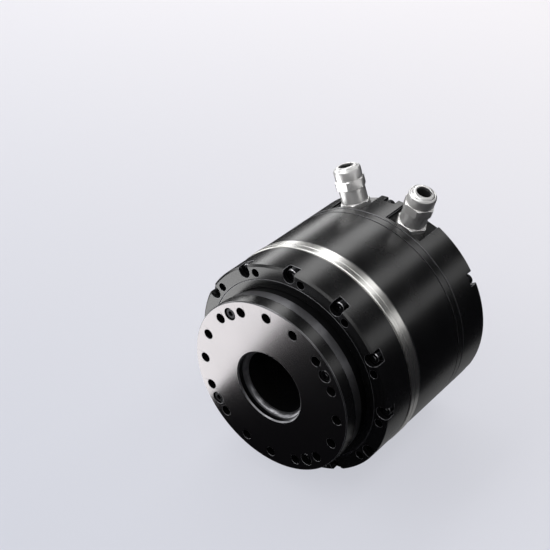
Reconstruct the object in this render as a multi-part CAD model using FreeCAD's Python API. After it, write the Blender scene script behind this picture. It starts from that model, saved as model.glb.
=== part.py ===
import FreeCAD, Part
import math
import os

# Hollow-shaft robot joint actuator: a frameless motor drives a strain-wave gear, whose flexspline
# turns the output flange on a crossed-roller bearing. Sizes are in millimetres.
#
# The axis of rotation is Y and the two cable glands point up, either side of +Z. The origin is on
# the axis, in the plane of the housing's front mounting face. Places along the axis are given as
# depths, measured from the face of the output flange towards the rear, and angles are measured
# about the axis from +X towards +Z.

Vector = FreeCAD.Vector

# Clearances that fits and patterns share.
fit_gap = 0.03             # radial, between pieces of one body that slide or press together
thread_gap = 0.05          # radial, round a screw in its tapped hole
screw_hole_gap = 0.2       # radial, round a screw in a plain hole
screw_head_gap = 0.4       # radial, round a screw's head in its counterbore
running_gap = 0.3          # between pieces that turn past each other
race_gap = 0.03            # between a rolling element and its race
seam_edge = 0.25           # chamfer that draws the line where two housing parts meet

# Hollow tube through the middle, and its rear seal.
tube_bore_radius = 16.3
tube_wall = 1.0
tube_collar_height = 1.0
tube_collar_front = 3.0
tube_collar_width = 3.0
tube_rear_recess = 0.3
rear_seal_height = 4.2
rear_seal_width = 2.0

# Motor shaft and its two ball bearings.
shaft_tube_gap = 0.6
shaft_wall = 2.1
shaft_shoulder_rise = 2.0
shaft_front_overhang = 0.9
shaft_bearing_height = 6.0
shaft_bearing_width = 6.0
shaft_bearing_ring_thickness = 1.7
shaft_ball_radius = 1.7
shaft_ball_count = 14
bearing_lip_height = 2.0
bearing_lip_width = 0.8
bearing_hub_wall = 4.0
rear_bearing_standout = 0.6

# Motor, from the shaft outwards.
rotor_web_height = 8.0
rotor_web_thickness = 3.0
rotor_sleeve_thickness = 2.4
rotor_rim_thickness = 3.0
rotor_length = 11.0
magnet_count = 20
magnet_thickness = 2.2
magnet_fill = 0.86
motor_air_gap = 0.8
stator_length = 10.0
stator_tooth_count = 18
stator_tooth_width = 4.5
stator_shoe_width = 9.0
stator_shoe_height = 1.2
stator_setback = 5.3
stator_yoke_thickness = 5.0
coil_setback = 1.8
coil_height = 8.0
coil_wall = 2.6
coil_slot_gap = 0.25
coil_yoke_gap = 0.7
coil_end_gap = 2.35

# Housing, round the motor.
motor_housing_wall = 5.5
motor_wall_thickness = 3.4
front_housing_wall = 7.1
front_edge = 1.0
bearing_flange_width = 3.4
band_rise = 0.3
band_edge = 0.5
rear_plate_width = 4.3
rear_cover_wall = 9.5
rear_wall_thickness = 3.0
rear_cover_gap = 0.8
rear_edge = 0.8

# Mounting holes and screws of the housing. Every screw is the same small socket-head screw.
small_screw_radius = 1.5
small_screw_head_radius = 2.75
small_screw_head_height = 3.0
small_screw_key_width = 2.5
small_screw_key_depth = 1.6
housing_screw_count = 12
housing_screw_inset = 2.8
housing_notch_depth = 5.5
housing_thread_length = 6.5
mounting_hole_radius = 2.1
mounting_hole_inset = 4.1
mounting_hole_depth = 10.0
mounting_hole_offset_angle = -7.6
rear_screw_count = 6
rear_screw_first_angle = 30.0
rear_notch_depth = 5.0

# Output flange and hub.
flange_inset = 3.2
flange_thickness = 6.8
flange_edge = 0.4
flange_bore_edge = 0.6
flange_hole_count = 16
flange_hole_radius = 2.5
flange_hole_inset = 5.8
flange_hole_edge = 0.3
flange_hole_depth = 12.0
flange_screw_count = 4
flange_screw_recess = 0.6
flange_screw_thread_length = 8.0
hub_rim_setback = 0.5
hub_rim_width = 5.0
hub_neck_length = 4.6
hub_bore_relief = 0.2

# Output seal and crossed-roller bearing.
retainer_recess = 0.2
retainer_width = 2.2
seal_height = 4.7
seal_width = 2.8
race_setback = 6.8
roller_count = 24
roller_radius = 3.0
roller_inset = 6.0
roller_end_relief = 0.12
bearing_land_gap = 1.2
bearing_flange_setback = 7.0
roller_cage_thickness = 0.5
roller_cage_width = 10.4
inner_ring_height = 7.9
inner_ring_width = 12.4
clamp_ring_thickness = 2.0
clamp_ring_overlap = 4.5
clamp_ring_bore_gap = 0.5

# Strain-wave gear. The teeth of both splines have one module, and the flexspline has two fewer.
gear_module = 0.7
flexspline_tooth_count = 100
tooth_count_difference = 2
pressure_angle = 30.0
flexspline_addendum = 0.55
flexspline_dedendum = 0.80
spline_addendum = 0.60
spline_dedendum = 0.80
tooth_backlash = 0.03
spline_tooth_length = 8.8
spline_tooth_setback = 0.4
spline_wall = 9.5
spline_relief = 0.6
flexspline_rim_wall = 1.1
flexspline_cup_wall = 0.8
flexspline_rim_overhang = 0.2
flexspline_boss_thickness = 3.4
flexspline_screw_count = 12
flexspline_screw_margin = 4.5
flexspline_thread_length = 7.5
gear_screw_head_clearance = 0.5

# Wave generator, with its thin ball bearing.
wave_bearing_width = 7.6
wave_ring_thickness = 1.25
wave_ball_radius = 2.1
wave_ball_count = 18
wave_plug_width = 8.2
wave_plug_boss_wall = 2.5
wave_clip_width = 1.2
wave_clip_rise = 1.0

# Spring-applied brake.
brake_body_gap = 3.5
brake_body_height = 11.0
brake_body_length = 5.8
brake_pole_width = 2.2
brake_coil_height = 4.6
brake_coil_depth = 4.0
brake_coil_recess = 0.3
brake_air_gap = 0.3
armature_thickness = 1.4
armature_lip = 2.0
brake_disc_margin = 4.5
brake_disc_thickness = 1.4
brake_hub_wall = 4.0
brake_hub_length = 6.0
brake_plate_thickness = 1.2
brake_plate_lip = 3.0
brake_post_count = 3
brake_post_radius = 1.5
brake_post_inset = 2.0
brake_post_gap = 0.5

# Encoders and the drive board.
encoder_disc_thickness = 0.8
encoder_disc_setback = 0.7
motor_encoder_height = 12.0
output_encoder_height = 12.7
board_setback = 1.0
board_thickness = 1.6
board_edge_gap = 0.5
board_bore_gap = 4.2
board_post_count = 3
board_post_radius = 1.3
board_post_first_angle = 90.0
readhead_size = 6.0
readhead_height = 0.6
transistor_count = 6
transistor_size = 5.0
transistor_height = 1.0
transistor_inset = 5.5

# Cable glands and the pockets in the rear cover that they stand in.
gland_half_spread = 18.0
gland_setback = 10.5
gland_insert_bore_radius = 3.3
gland_insert_wall = 1.3
gland_sleeve_wall = 0.7
gland_thread_wall = 1.4
gland_neck_wall = 2.1
gland_nut_wall = 1.6
gland_opening_rise = 0.35
gland_flat_rise = 0.1
gland_corner_rise = 0.75
gland_base_height = 2.2
gland_neck_height = 7.5
gland_hex_height = 4.6
gland_nut_height = 3.8
gland_dome_height = 2.9
gland_dome_radius = 2.4
pocket_depth = 2.5
pocket_side_gap = 2.6
pocket_setback = 2.3

# Radii, each worked out from the piece inside it: the tube, the shaft and the motor set the housing's.
tube_radius = tube_bore_radius + tube_wall
rear_seal_radius = tube_radius + rear_seal_height
flange_bore_radius = tube_radius + tube_collar_height
hub_bore_radius = flange_bore_radius + hub_bore_relief
shaft_bore_radius = tube_radius + shaft_tube_gap
shaft_radius = shaft_bore_radius + shaft_wall
shaft_bearing_radius = shaft_radius + shaft_bearing_height
shaft_ball_circle_radius = (shaft_radius + shaft_bearing_radius) / 2
rotor_rim_radius = shaft_radius + rotor_web_height + rotor_rim_thickness
magnet_radius = rotor_rim_radius + magnet_thickness
stator_bore_radius = magnet_radius + motor_air_gap
coil_inner_radius = stator_bore_radius + coil_setback
coil_outer_radius = coil_inner_radius + coil_height
motor_housing_bore_radius = coil_outer_radius + coil_yoke_gap + stator_yoke_thickness
housing_radius = motor_housing_bore_radius + motor_housing_wall
band_radius = housing_radius + band_rise
front_housing_bore_radius = housing_radius - front_housing_wall
rear_cover_cavity_radius = housing_radius - rear_cover_wall
housing_screw_circle_radius = housing_radius - housing_screw_inset
housing_notch_width = 2 * (small_screw_head_radius + screw_head_gap)
mounting_hole_circle_radius = housing_radius - mounting_hole_inset
flange_radius = front_housing_bore_radius - flange_inset
flange_hole_circle_radius = flange_radius - flange_hole_inset
hub_rim_radius = flange_radius - hub_rim_setback
hub_neck_radius = front_housing_bore_radius - seal_height
roller_circle_radius = front_housing_bore_radius - roller_inset
roller_half_diagonal = roller_radius * math.sqrt(2)
outer_ring_bore_radius = roller_circle_radius + bearing_land_gap / 2
inner_ring_radius = roller_circle_radius - bearing_land_gap / 2
inner_ring_bore_radius = roller_circle_radius - inner_ring_height
clamp_ring_radius = inner_ring_bore_radius + clamp_ring_overlap
clamp_ring_bore_radius = shaft_radius + clamp_ring_bore_gap
flexspline_screw_circle_radius = clamp_ring_bore_radius + flexspline_screw_margin
flexspline_boss_radius = flexspline_screw_circle_radius + flexspline_screw_margin
flexspline_pitch_radius = gear_module * flexspline_tooth_count / 2
spline_tooth_count = flexspline_tooth_count + tooth_count_difference
spline_pitch_radius = gear_module * spline_tooth_count / 2
spline_body_radius = spline_pitch_radius + spline_dedendum + spline_wall
wave_height = spline_pitch_radius - flexspline_pitch_radius
flexspline_root_radius = flexspline_pitch_radius - flexspline_dedendum
flexspline_inner_radius = flexspline_root_radius - flexspline_rim_wall
wave_outer_ring_radius = flexspline_inner_radius - fit_gap
wave_ball_circle_radius = wave_outer_ring_radius - wave_ring_thickness - race_gap - wave_ball_radius
wave_inner_ring_radius = wave_ball_circle_radius - wave_ball_radius - race_gap
wave_plug_radius = wave_inner_ring_radius - wave_ring_thickness - fit_gap
wave_plug_boss_radius = shaft_radius + wave_plug_boss_wall
brake_body_radius = rear_cover_cavity_radius - brake_body_gap
brake_body_bore_radius = brake_body_radius - brake_body_height
brake_coil_inner_radius = brake_body_bore_radius + brake_pole_width
brake_coil_outer_radius = brake_coil_inner_radius + brake_coil_height
armature_bore_radius = brake_body_bore_radius - armature_lip
brake_plate_bore_radius = brake_body_bore_radius - brake_plate_lip
brake_disc_radius = brake_body_radius - brake_disc_margin
brake_hub_radius = shaft_radius + brake_hub_wall
brake_post_circle_radius = brake_body_radius - brake_post_inset
motor_encoder_radius = shaft_radius + motor_encoder_height
output_encoder_radius = tube_radius + output_encoder_height
board_radius = rear_cover_cavity_radius - board_edge_gap
board_bore_radius = tube_radius + board_bore_gap
board_post_circle_radius = board_radius - board_post_radius
transistor_circle_radius = board_radius - transistor_inset
gland_bore_radius = gland_insert_bore_radius + gland_insert_wall
gland_opening_radius = gland_insert_bore_radius + gland_opening_rise
gland_sleeve_radius = gland_bore_radius + gland_sleeve_wall
gland_thread_radius = gland_bore_radius + gland_thread_wall
gland_neck_radius = gland_bore_radius + gland_neck_wall
gland_nut_radius = gland_sleeve_radius + gland_nut_wall
gland_key_width = 2 * (gland_nut_radius + gland_flat_rise)
gland_corner_radius = gland_key_width / 2 + gland_corner_rise
pocket_floor_radius = housing_radius - pocket_depth
pocket_width = 2 * (gland_corner_radius + pocket_side_gap)

# Places along the axis, each worked out from the piece before it.
flange_back = flange_thickness
hub_rim_back = flange_back + hub_rim_width
mount_face_depth = hub_rim_back + hub_neck_length
retainer_front = mount_face_depth + retainer_recess
retainer_back = retainer_front + retainer_width
seal_back = retainer_back + seal_width
race_depth = seal_back + race_setback
inner_ring_front = race_depth - inner_ring_width / 2
inner_ring_back = race_depth + inner_ring_width / 2
clamp_ring_back = inner_ring_back + clamp_ring_thickness
front_housing_back = race_depth + bearing_flange_setback
bearing_flange_back = front_housing_back + bearing_flange_width
flexspline_boss_back = clamp_ring_back + flexspline_boss_thickness
wave_plug_front = flexspline_boss_back + small_screw_head_height + gear_screw_head_clearance
wave_clip_front = wave_plug_front - wave_clip_width
shaft_front = wave_clip_front - shaft_front_overhang
tooth_middle = wave_plug_front + wave_plug_width / 2
spline_tooth_front = tooth_middle - spline_tooth_length / 2
spline_flange_back = spline_tooth_front - spline_tooth_setback
spline_back = tooth_middle + spline_tooth_length / 2
flexspline_back = spline_back + flexspline_rim_overhang
motor_wall_front = spline_back + 2 * running_gap
motor_wall_back = motor_wall_front + motor_wall_thickness
front_bearing_front = motor_wall_front + bearing_lip_width
front_bearing_back = front_bearing_front + shaft_bearing_width
stator_front = motor_wall_back + stator_setback
stator_back = stator_front + stator_length
stator_middle = (stator_front + stator_back) / 2
motor_housing_back = stator_back + coil_slot_gap + coil_wall + coil_end_gap
rear_plate_back = motor_housing_back + rear_plate_width
rear_bearing_back = rear_plate_back + rear_bearing_standout
rear_bearing_front = rear_bearing_back - shaft_bearing_width
brake_body_back = rear_plate_back + brake_body_length
armature_front = brake_body_back + brake_air_gap
brake_disc_front = armature_front + armature_thickness
brake_disc_back = brake_disc_front + brake_disc_thickness
brake_plate_back = brake_disc_back + brake_plate_thickness
motor_encoder_front = brake_plate_back + encoder_disc_setback
motor_encoder_back = motor_encoder_front + encoder_disc_thickness
shaft_back = motor_encoder_back
board_front = motor_encoder_back + board_setback
board_back = board_front + board_thickness
output_encoder_front = board_back + board_setback
output_encoder_back = output_encoder_front + encoder_disc_thickness
rear_cavity_back = output_encoder_back + rear_cover_gap
rear_cover_back = rear_cavity_back + rear_wall_thickness
gland_depth = rear_plate_back + gland_setback


def turned(*profile):
    """A solid of revolution about the actuator's axis, from (radius, depth) points."""
    points = [Vector(radius, depth - mount_face_depth, 0) for radius, depth in profile]
    solid = Part.Face(Part.makePolygon(points + points[:1])).revolve(Vector(), Vector(0, 1, 0), 360)
    if solid.Volume < 0:
        solid.reverse()
    return solid


def ring(inner, outer, front, back, edge=0.0):
    """A plain ring, with its two outer edges chamfered."""
    if not edge:
        return turned((inner, front), (outer, front), (outer, back), (inner, back))
    return turned((inner, front), (outer - edge, front), (outer, front + edge),
                  (outer, back - edge), (outer - edge, back), (inner, back))


def rod(radius, front, back, circle_radius=0.0):
    """A round rod along the axis, on +X at the given circle radius."""
    return Part.makeCylinder(radius, back - front, Vector(circle_radius, front - mount_face_depth, 0),
                             Vector(0, 1, 0))


def block(inner, outer, width, front, back):
    """A block on +X from one radius to another, centred on the axis sideways."""
    return Part.makeBox(outer - inner, back - front, width,
                        Vector(inner, front - mount_face_depth, -width / 2))


def turn(shape, angle):
    """A copy of a shape turned about the axis, from +X towards +Z."""
    return shape.rotated(Vector(), Vector(0, 1, 0), -angle)


def around(shape, count, first_angle=0.0):
    """Copies of a shape, evenly spaced about the axis."""
    return [turn(shape, first_angle + 360.0 * i / count) for i in range(count)]


def hexagon(key_width, centre, along, across):
    """A closed hexagonal wire; one corner lies in the across direction."""
    side = along.cross(across)
    corner = key_width / math.sqrt(3)
    points = []
    for i in range(6):
        angle = math.radians(60 * i)
        points.append(centre + across * (corner * math.cos(angle)) + side * (corner * math.sin(angle)))
    return Part.makePolygon(points + points[:1])


def socket_screw(seat, length, circle_radius, way=1):
    """A socket-head screw on +X whose head sits on the seat depth; way is 1 for a shank that points
    to the rear and -1 for one that points to the front."""
    along = Vector(0, way, 0)
    seat_point = Vector(circle_radius, seat - mount_face_depth, 0)
    head = Part.makeCylinder(small_screw_head_radius, small_screw_head_height, seat_point, -along)
    shank = Part.makeCylinder(small_screw_radius, length, seat_point, along)
    key_top = seat_point - along * small_screw_head_height
    key = Part.Face(hexagon(small_screw_key_width, key_top, along, Vector(1, 0, 0)))
    return head.fuse(shank).removeSplitter().cut(key.extrude(along * small_screw_key_depth))


def notch(width, circle_radius, front, back):
    """The cutter of a screw's counterbore that opens through the outside of the housing."""
    round_end = rod(width / 2, front, back, circle_radius)
    return [round_end, block(circle_radius, band_radius + front_edge, width, front, back)]


def oval(radius, depth, rise=None):
    """A closed oval wire, as the wave generator bends it: longer along X by the wave height."""
    rise = wave_height if rise is None else rise
    centre = Vector(0, depth - mount_face_depth, 0)
    shape = Part.Ellipse(centre + Vector(radius + rise, 0, 0), centre + Vector(0, 0, radius - rise), centre)
    return Part.Wire(shape.toShape())


def oval_bar(radius, front, back):
    """A solid oval bar."""
    return Part.Face(oval(radius, front)).extrude(Vector(0, back - front, 0))


def flange_parts():
    """The output flange, the hub behind it, and the screws that hold them together."""
    flange = turned((flange_bore_radius + flange_bore_edge, 0), (flange_radius - flange_edge, 0),
                    (flange_radius, flange_edge), (flange_radius, flange_back),
                    (flange_bore_radius, flange_back), (flange_bore_radius, flange_bore_edge))
    hub = turned((hub_bore_radius, flange_back), (hub_rim_radius, flange_back), (hub_rim_radius, hub_rim_back),
                 (hub_neck_radius, hub_rim_back), (hub_neck_radius, seal_back - running_gap),
                 (inner_ring_radius, seal_back - running_gap), (inner_ring_radius, inner_ring_front),
                 (inner_ring_bore_radius - fit_gap, inner_ring_front),
                 (inner_ring_bore_radius - fit_gap, inner_ring_back), (hub_bore_radius, inner_ring_back))
    hole = rod(flange_hole_radius, 0, flange_hole_depth, flange_hole_circle_radius)
    mouth = Part.makeCone(flange_hole_radius + flange_hole_edge, flange_hole_radius, flange_hole_edge,
                          Vector(flange_hole_circle_radius, -mount_face_depth, 0), Vector(0, 1, 0))
    holes = around(hole, flange_hole_count)
    seat = flange_screw_recess + small_screw_head_height
    screw_angle = 1.5 * 360 / flange_hole_count
    counterbore = rod(small_screw_head_radius + screw_head_gap, 0, seat, flange_hole_circle_radius)
    passage = rod(small_screw_radius + screw_hole_gap, seat, flange_back, flange_hole_circle_radius)
    thread = rod(small_screw_radius + thread_gap, flange_back, flange_back + flange_screw_thread_length,
                 flange_hole_circle_radius)
    screw_length = flange_back - seat + flange_screw_thread_length - running_gap
    screw = socket_screw(seat, screw_length, flange_hole_circle_radius)
    flange = flange.cut(holes + around(mouth, flange_hole_count)
                        + around(counterbore, flange_screw_count, screw_angle)
                        + around(passage, flange_screw_count, screw_angle))
    gear_thread = rod(small_screw_radius + thread_gap, inner_ring_back - flexspline_thread_length,
                      inner_ring_back, flexspline_screw_circle_radius)
    hub = hub.cut(holes + around(thread, flange_screw_count, screw_angle)
                  + around(gear_thread, flexspline_screw_count))
    return {"output_flange": flange, "output_hub": hub,
            "flange_screws": around(screw, flange_screw_count, screw_angle)}


def main_bearing():
    """The crossed-roller bearing: rollers lie at 45 degrees, every other one leaning the other way,
    between two V races. The outer ring's flange is the front half of the bright band."""
    race = [(roller_circle_radius - roller_half_diagonal, race_depth),
            (roller_circle_radius, race_depth - roller_half_diagonal),
            (roller_circle_radius + roller_half_diagonal, race_depth),
            (roller_circle_radius, race_depth + roller_half_diagonal)]
    race_ring = turned(*race)
    outer = turned((outer_ring_bore_radius, seal_back), (front_housing_bore_radius - fit_gap, seal_back),
                   (front_housing_bore_radius - fit_gap, front_housing_back),
                   (band_radius - band_edge, front_housing_back), (band_radius, front_housing_back + band_edge),
                   (band_radius, bearing_flange_back - seam_edge), (band_radius - seam_edge, bearing_flange_back),
                   (outer_ring_bore_radius, bearing_flange_back))
    clearance_hole = rod(small_screw_radius + screw_hole_gap, front_housing_back, bearing_flange_back,
                         housing_screw_circle_radius)
    outer = outer.cut([race_ring] + around(clearance_hole, housing_screw_count))
    inner = ring(inner_ring_bore_radius, inner_ring_radius, inner_ring_front, inner_ring_back).cut(race_ring)
    half = roller_radius - race_gap
    half_length = half - roller_end_relief
    lean = Vector(math.cos(math.radians(45)), math.sin(math.radians(45)), 0)
    middle = Vector(roller_circle_radius, race_depth - mount_face_depth, 0)
    roller = Part.makeCylinder(half, 2 * half_length, middle - lean * half_length, lean)
    other_lean = Vector(lean.x, -lean.y, 0)
    other_roller = Part.makeCylinder(half, 2 * half_length, middle - other_lean * half_length, other_lean)
    step = 360.0 / roller_count
    rollers = around(roller, roller_count // 2) + around(other_roller, roller_count // 2, step)
    cage = ring(roller_circle_radius - roller_cage_thickness / 2, roller_circle_radius + roller_cage_thickness / 2,
                race_depth - roller_cage_width / 2, race_depth + roller_cage_width / 2)
    window = Part.makeCylinder(half + 2 * race_gap, 2 * half + 4 * race_gap,
                               middle - lean * (half + 2 * race_gap), lean)
    other_window = Part.makeCylinder(half + 2 * race_gap, 2 * half + 4 * race_gap,
                                     middle - other_lean * (half + 2 * race_gap), other_lean)
    cage = cage.cut(around(window, roller_count // 2) + around(other_window, roller_count // 2, step))
    clamp = ring(clamp_ring_bore_radius, clamp_ring_radius, inner_ring_back, clamp_ring_back)
    clamp = clamp.cut(around(rod(small_screw_radius + screw_hole_gap, inner_ring_back, clamp_ring_back,
                                 flexspline_screw_circle_radius), flexspline_screw_count))
    return {"main_bearing_outer_ring": outer, "main_bearing_inner_ring": inner, "crossed_rollers": rollers,
            "roller_cage": cage, "inner_ring_clamp": clamp}


def tooth_points(angle, radius, heights_and_halves, slide=0.0, lean=0.0):
    """The corners of one tooth or gap: each has a height from the pitch radius and a half width. The
    tooth stands at an angle, is slid sideways by a length, and leans with the bent rim."""
    turn_angle = math.radians(angle)
    outward = Vector(math.cos(turn_angle), 0, math.sin(turn_angle))
    sideways = Vector(-math.sin(turn_angle), 0, math.cos(turn_angle))
    base = outward * radius + sideways * slide
    up = outward + sideways * lean
    across = sideways - outward * lean
    return [base + up * height + across * half for height, half in heights_and_halves]


def circular_spline():
    """The rigid ring gear, with its teeth inside and a flange that is the rear half of the band."""
    quarter_pitch = math.pi * gear_module / 4
    slope = math.tan(math.radians(pressure_angle))
    tip = quarter_pitch + tooth_backlash + spline_addendum * slope
    root = quarter_pitch + tooth_backlash - spline_dedendum * slope
    corners = [(-spline_addendum, -tip), (spline_dedendum, -root), (spline_dedendum, root),
               (-spline_addendum, tip)]
    outline = []
    for i in range(spline_tooth_count):
        outline += tooth_points(360.0 * i / spline_tooth_count, spline_pitch_radius, corners)
    front = Vector(0, spline_tooth_front - mount_face_depth, 0)
    outline = [point + front for point in outline]
    toothed_bore = Part.Face(Part.makePolygon(outline + outline[:1])).extrude(
        Vector(0, spline_back - spline_tooth_front, 0))
    relief_radius = spline_pitch_radius + spline_dedendum + spline_relief
    body = turned((spline_pitch_radius - 2 * gear_module, spline_tooth_front), (relief_radius, spline_tooth_front),
                  (relief_radius, bearing_flange_back), (band_radius - seam_edge, bearing_flange_back),
                  (band_radius, bearing_flange_back + seam_edge), (band_radius, spline_flange_back - band_edge),
                  (band_radius - band_edge, spline_flange_back), (spline_body_radius, spline_flange_back),
                  (spline_body_radius, spline_back), (spline_pitch_radius - 2 * gear_module, spline_back))
    clearance_hole = rod(small_screw_radius + screw_hole_gap, bearing_flange_back, spline_flange_back,
                         housing_screw_circle_radius)
    return body.cut([toothed_bore] + around(clearance_hole, housing_screw_count))


def flexspline():
    """The thin cup gear: its toothed rim is pressed oval by the wave generator, so the teeth mesh
    along X and stand clear of the ring gear along Z, and its boss is bolted to the output hub."""
    quarter_pitch = math.pi * gear_module / 4
    slope = math.tan(math.radians(pressure_angle))
    tip = quarter_pitch - tooth_backlash - flexspline_addendum * slope
    root = quarter_pitch - tooth_backlash + flexspline_dedendum * slope
    corners = [(-flexspline_dedendum, -root), (flexspline_addendum, -tip), (flexspline_addendum, tip),
               (-flexspline_dedendum, root)]
    outline = []
    for i in range(flexspline_tooth_count):
        angle = 360.0 * i / flexspline_tooth_count
        twice = math.radians(2 * angle)
        bent_radius = flexspline_pitch_radius + wave_height * math.cos(twice)
        slide = -wave_height / 2 * math.sin(twice)
        lean = 1.5 * wave_height * math.sin(twice) / flexspline_pitch_radius
        outline += tooth_points(angle, bent_radius, corners, slide, lean)
    front = Vector(0, spline_tooth_front - mount_face_depth, 0)
    outline = [point + front for point in outline]
    teeth = Part.Face(Part.makePolygon(outline + outline[:1])).extrude(
        Vector(0, flexspline_back - spline_tooth_front, 0))
    cup_radius = flexspline_root_radius - seam_edge
    cup_back = spline_tooth_front + gear_module
    outside = Part.makeLoft([oval(cup_radius, clamp_ring_back, 0.0), oval(cup_radius, cup_back)], True, True)
    inside = Part.makeLoft([oval(flexspline_inner_radius, clamp_ring_back + flexspline_cup_wall, 0.0),
                            oval(flexspline_inner_radius, cup_back)], True, True)
    rim_bore = oval_bar(flexspline_inner_radius, cup_back, flexspline_back)
    boss = ring(clamp_ring_bore_radius, flexspline_boss_radius, clamp_ring_back, flexspline_boss_back)
    bore = rod(clamp_ring_bore_radius, clamp_ring_back, flexspline_boss_back)
    screw_hole = rod(small_screw_radius + screw_hole_gap, clamp_ring_back, flexspline_boss_back,
                     flexspline_screw_circle_radius)
    cup = outside.fuse(teeth).cut([inside, rim_bore]).fuse(boss)
    return cup.cut([bore] + around(screw_hole, flexspline_screw_count))


def gear_screws():
    """The screws that clamp the flexspline and the bearing's inner ring to the output hub."""
    length = flexspline_boss_thickness + clamp_ring_thickness + flexspline_thread_length - running_gap
    screw = socket_screw(flexspline_boss_back, length, flexspline_screw_circle_radius, -1)
    return around(screw, flexspline_screw_count)


def wave_generator():
    """The oval plug on the motor shaft and the thin bearing that carries the flexspline's rim."""
    front = tooth_middle - wave_bearing_width / 2
    back = tooth_middle + wave_bearing_width / 2
    outer = oval_bar(wave_outer_ring_radius, front, back)
    outer = outer.cut(oval_bar(wave_outer_ring_radius - wave_ring_thickness, front, back))
    inner = oval_bar(wave_inner_ring_radius, front, back)
    inner = inner.cut(oval_bar(wave_inner_ring_radius - wave_ring_thickness, front, back))
    balls = []
    for i in range(wave_ball_count):
        angle = math.radians(360.0 * (i + 0.5) / wave_ball_count)
        balls.append(Part.makeSphere(wave_ball_radius, Vector(
            (wave_ball_circle_radius + wave_height) * math.cos(angle), tooth_middle - mount_face_depth,
            (wave_ball_circle_radius - wave_height) * math.sin(angle))))
    plug_back = wave_plug_front + wave_plug_width
    plug = oval_bar(wave_plug_radius, wave_plug_front, plug_back)
    plug = plug.fuse(rod(wave_plug_boss_radius, plug_back, front_bearing_front))
    plug = plug.cut(rod(shaft_radius + fit_gap, wave_plug_front, front_bearing_front))
    clip = ring(shaft_radius + fit_gap, shaft_radius + wave_clip_rise, wave_clip_front, wave_plug_front)
    return {"wave_bearing_outer_ring": outer, "wave_bearing_inner_ring": inner, "wave_bearing_balls": balls,
            "wave_generator_plug": plug, "wave_generator_clip": clip}


def shaft_bearing(front):
    """The outer ring, inner ring and balls of a shaft bearing whose front face is at a depth."""
    middle = front + shaft_bearing_width / 2
    back = front + shaft_bearing_width
    groove = Part.makeTorus(shaft_ball_circle_radius, shaft_ball_radius + race_gap,
                            Vector(0, middle - mount_face_depth, 0), Vector(0, 1, 0))
    outer = ring(shaft_bearing_radius - shaft_bearing_ring_thickness, shaft_bearing_radius, front, back)
    inner = ring(shaft_radius + fit_gap, shaft_radius + shaft_bearing_ring_thickness, front, back)
    ball = Part.makeSphere(shaft_ball_radius, Vector(shaft_ball_circle_radius, middle - mount_face_depth, 0))
    return outer.cut(groove), inner.cut(groove), around(ball, shaft_ball_count)


def motor_shaft():
    """The hollow shaft, with a raised seat for the rotor between its two bearings."""
    shoulder = shaft_radius + shaft_shoulder_rise
    return turned((shaft_bore_radius, shaft_front), (shaft_radius, shaft_front),
                  (shaft_radius, front_bearing_back), (shoulder, front_bearing_back),
                  (shoulder, rear_bearing_front), (shaft_radius, rear_bearing_front),
                  (shaft_radius, shaft_back), (shaft_bore_radius, shaft_back))


def rotor():
    """The webbed rotor core, and the magnets round it."""
    sleeve = shaft_radius + shaft_shoulder_rise + fit_gap
    front = stator_middle - rotor_length / 2
    back = stator_middle + rotor_length / 2
    web_front = stator_middle - rotor_web_thickness / 2
    web_back = stator_middle + rotor_web_thickness / 2
    rim_bore = rotor_rim_radius - rotor_rim_thickness
    core = turned((sleeve, front), (sleeve + rotor_sleeve_thickness, front),
                  (sleeve + rotor_sleeve_thickness, web_front), (rim_bore, web_front), (rim_bore, front),
                  (rotor_rim_radius, front), (rotor_rim_radius, back), (rim_bore, back), (rim_bore, web_back),
                  (sleeve + rotor_sleeve_thickness, web_back), (sleeve + rotor_sleeve_thickness, back),
                  (sleeve, back))
    arc = 360.0 / magnet_count * magnet_fill
    section = Part.makePolygon([Vector(radius, stator_front - mount_face_depth, 0) for radius in
                                (rotor_rim_radius + fit_gap, magnet_radius)])
    magnet = section.extrude(Vector(0, stator_length, 0)).revolve(Vector(), Vector(0, 1, 0), arc)
    if magnet.Volume < 0:
        magnet.reverse()
    return core, around(magnet.Solids[0], magnet_count)


def stator():
    """The laminated core with its teeth and shoes, and a coil round each tooth."""
    yoke = ring(motor_housing_bore_radius - fit_gap - stator_yoke_thickness, motor_housing_bore_radius - fit_gap,
                stator_front, stator_back)
    yoke_overlap = stator_yoke_thickness / 2
    tooth = block(stator_bore_radius + stator_shoe_height / 2,
                  motor_housing_bore_radius - stator_yoke_thickness + yoke_overlap,
                  stator_tooth_width, stator_front, stator_back)
    shoe = block(stator_bore_radius - stator_shoe_height, stator_bore_radius + stator_shoe_height,
                 stator_shoe_width, stator_front, stator_back)
    core = yoke.fuse(around(tooth.fuse(shoe), stator_tooth_count))
    core = core.cut(rod(stator_bore_radius, stator_front, stator_back)).removeSplitter()
    inside_width = stator_tooth_width + 2 * coil_slot_gap
    outside = block(coil_inner_radius, coil_outer_radius, inside_width + 2 * coil_wall,
                    stator_front - coil_slot_gap - coil_wall, stator_back + coil_slot_gap + coil_wall)
    corners = [edge for edge in outside.Edges
               if abs(edge.Vertexes[0].X - edge.Vertexes[1].X) > coil_wall]
    outside = outside.makeFillet(coil_wall * 0.9, corners)
    coil = outside.cut(block(coil_inner_radius, coil_outer_radius, inside_width,
                             stator_front - coil_slot_gap, stator_back + coil_slot_gap))
    return core, around(coil, stator_tooth_count)


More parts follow.
